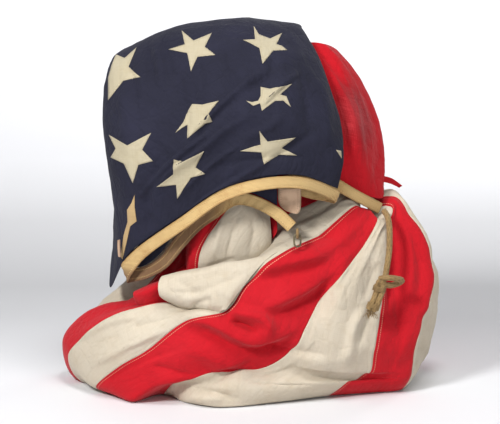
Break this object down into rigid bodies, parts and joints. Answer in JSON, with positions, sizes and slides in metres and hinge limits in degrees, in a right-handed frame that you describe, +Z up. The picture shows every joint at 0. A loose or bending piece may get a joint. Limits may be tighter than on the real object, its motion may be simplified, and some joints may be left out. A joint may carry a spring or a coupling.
{
  "type": "folded tattered flag",
  "caption": "Old roped wool ensign bundled so that its starred navy canton is a hood over fanned red and white stripes.",
  "frame": {"origin": "middle of the bundle's footprint, on the surface that it rests on", "axes": "+Z up; +Y from the hoist tape side, which is the front, to the back; +X to the right seen from the front"},
  "size_m": [0.6143, 0.3884, 0.5914],
  "materials": {
    "navy_bunting": "matt plain-weave wool bunting, faded, with cream cotton stars",
    "red_bunting": "matt plain-weave wool bunting, worn thin in places",
    "white_bunting": "matt plain-weave wool bunting, yellowed to cream",
    "heading_canvas": "stitched cotton canvas tape, soiled",
    "tan_cotton": "stitched cotton patch, rubbed",
    "hemp_rope": "braided natural fibre, rough",
    "old_brass": "tarnished metal"
  },
  "bodies": {
    "root": {"canton": "navy_bunting", "stripe_01_red": "red_bunting", "stripe_02_white": "white_bunting", "stripe_03_red": "red_bunting", "stripe_04_white": "white_bunting", "stripe_05_red": "red_bunting", "stripe_06_white": "white_bunting", "stripe_07_red": "red_bunting", "stripe_08_white": "white_bunting", "stripe_09_red": "red_bunting", "stripe_10_white": "white_bunting", "stripe_11_red": "red_bunting", "stripe_12_white": "white_bunting", "stripe_13_red": "red_bunting", "heading": "heading_canvas", "tab": "tan_cotton", "small_tab": "tan_cotton", "eye": "hemp_rope", "ring": "old_brass", "tail_rope": "hemp_rope", "rope_hitch": "hemp_rope"}
  },
  "joints": []
}
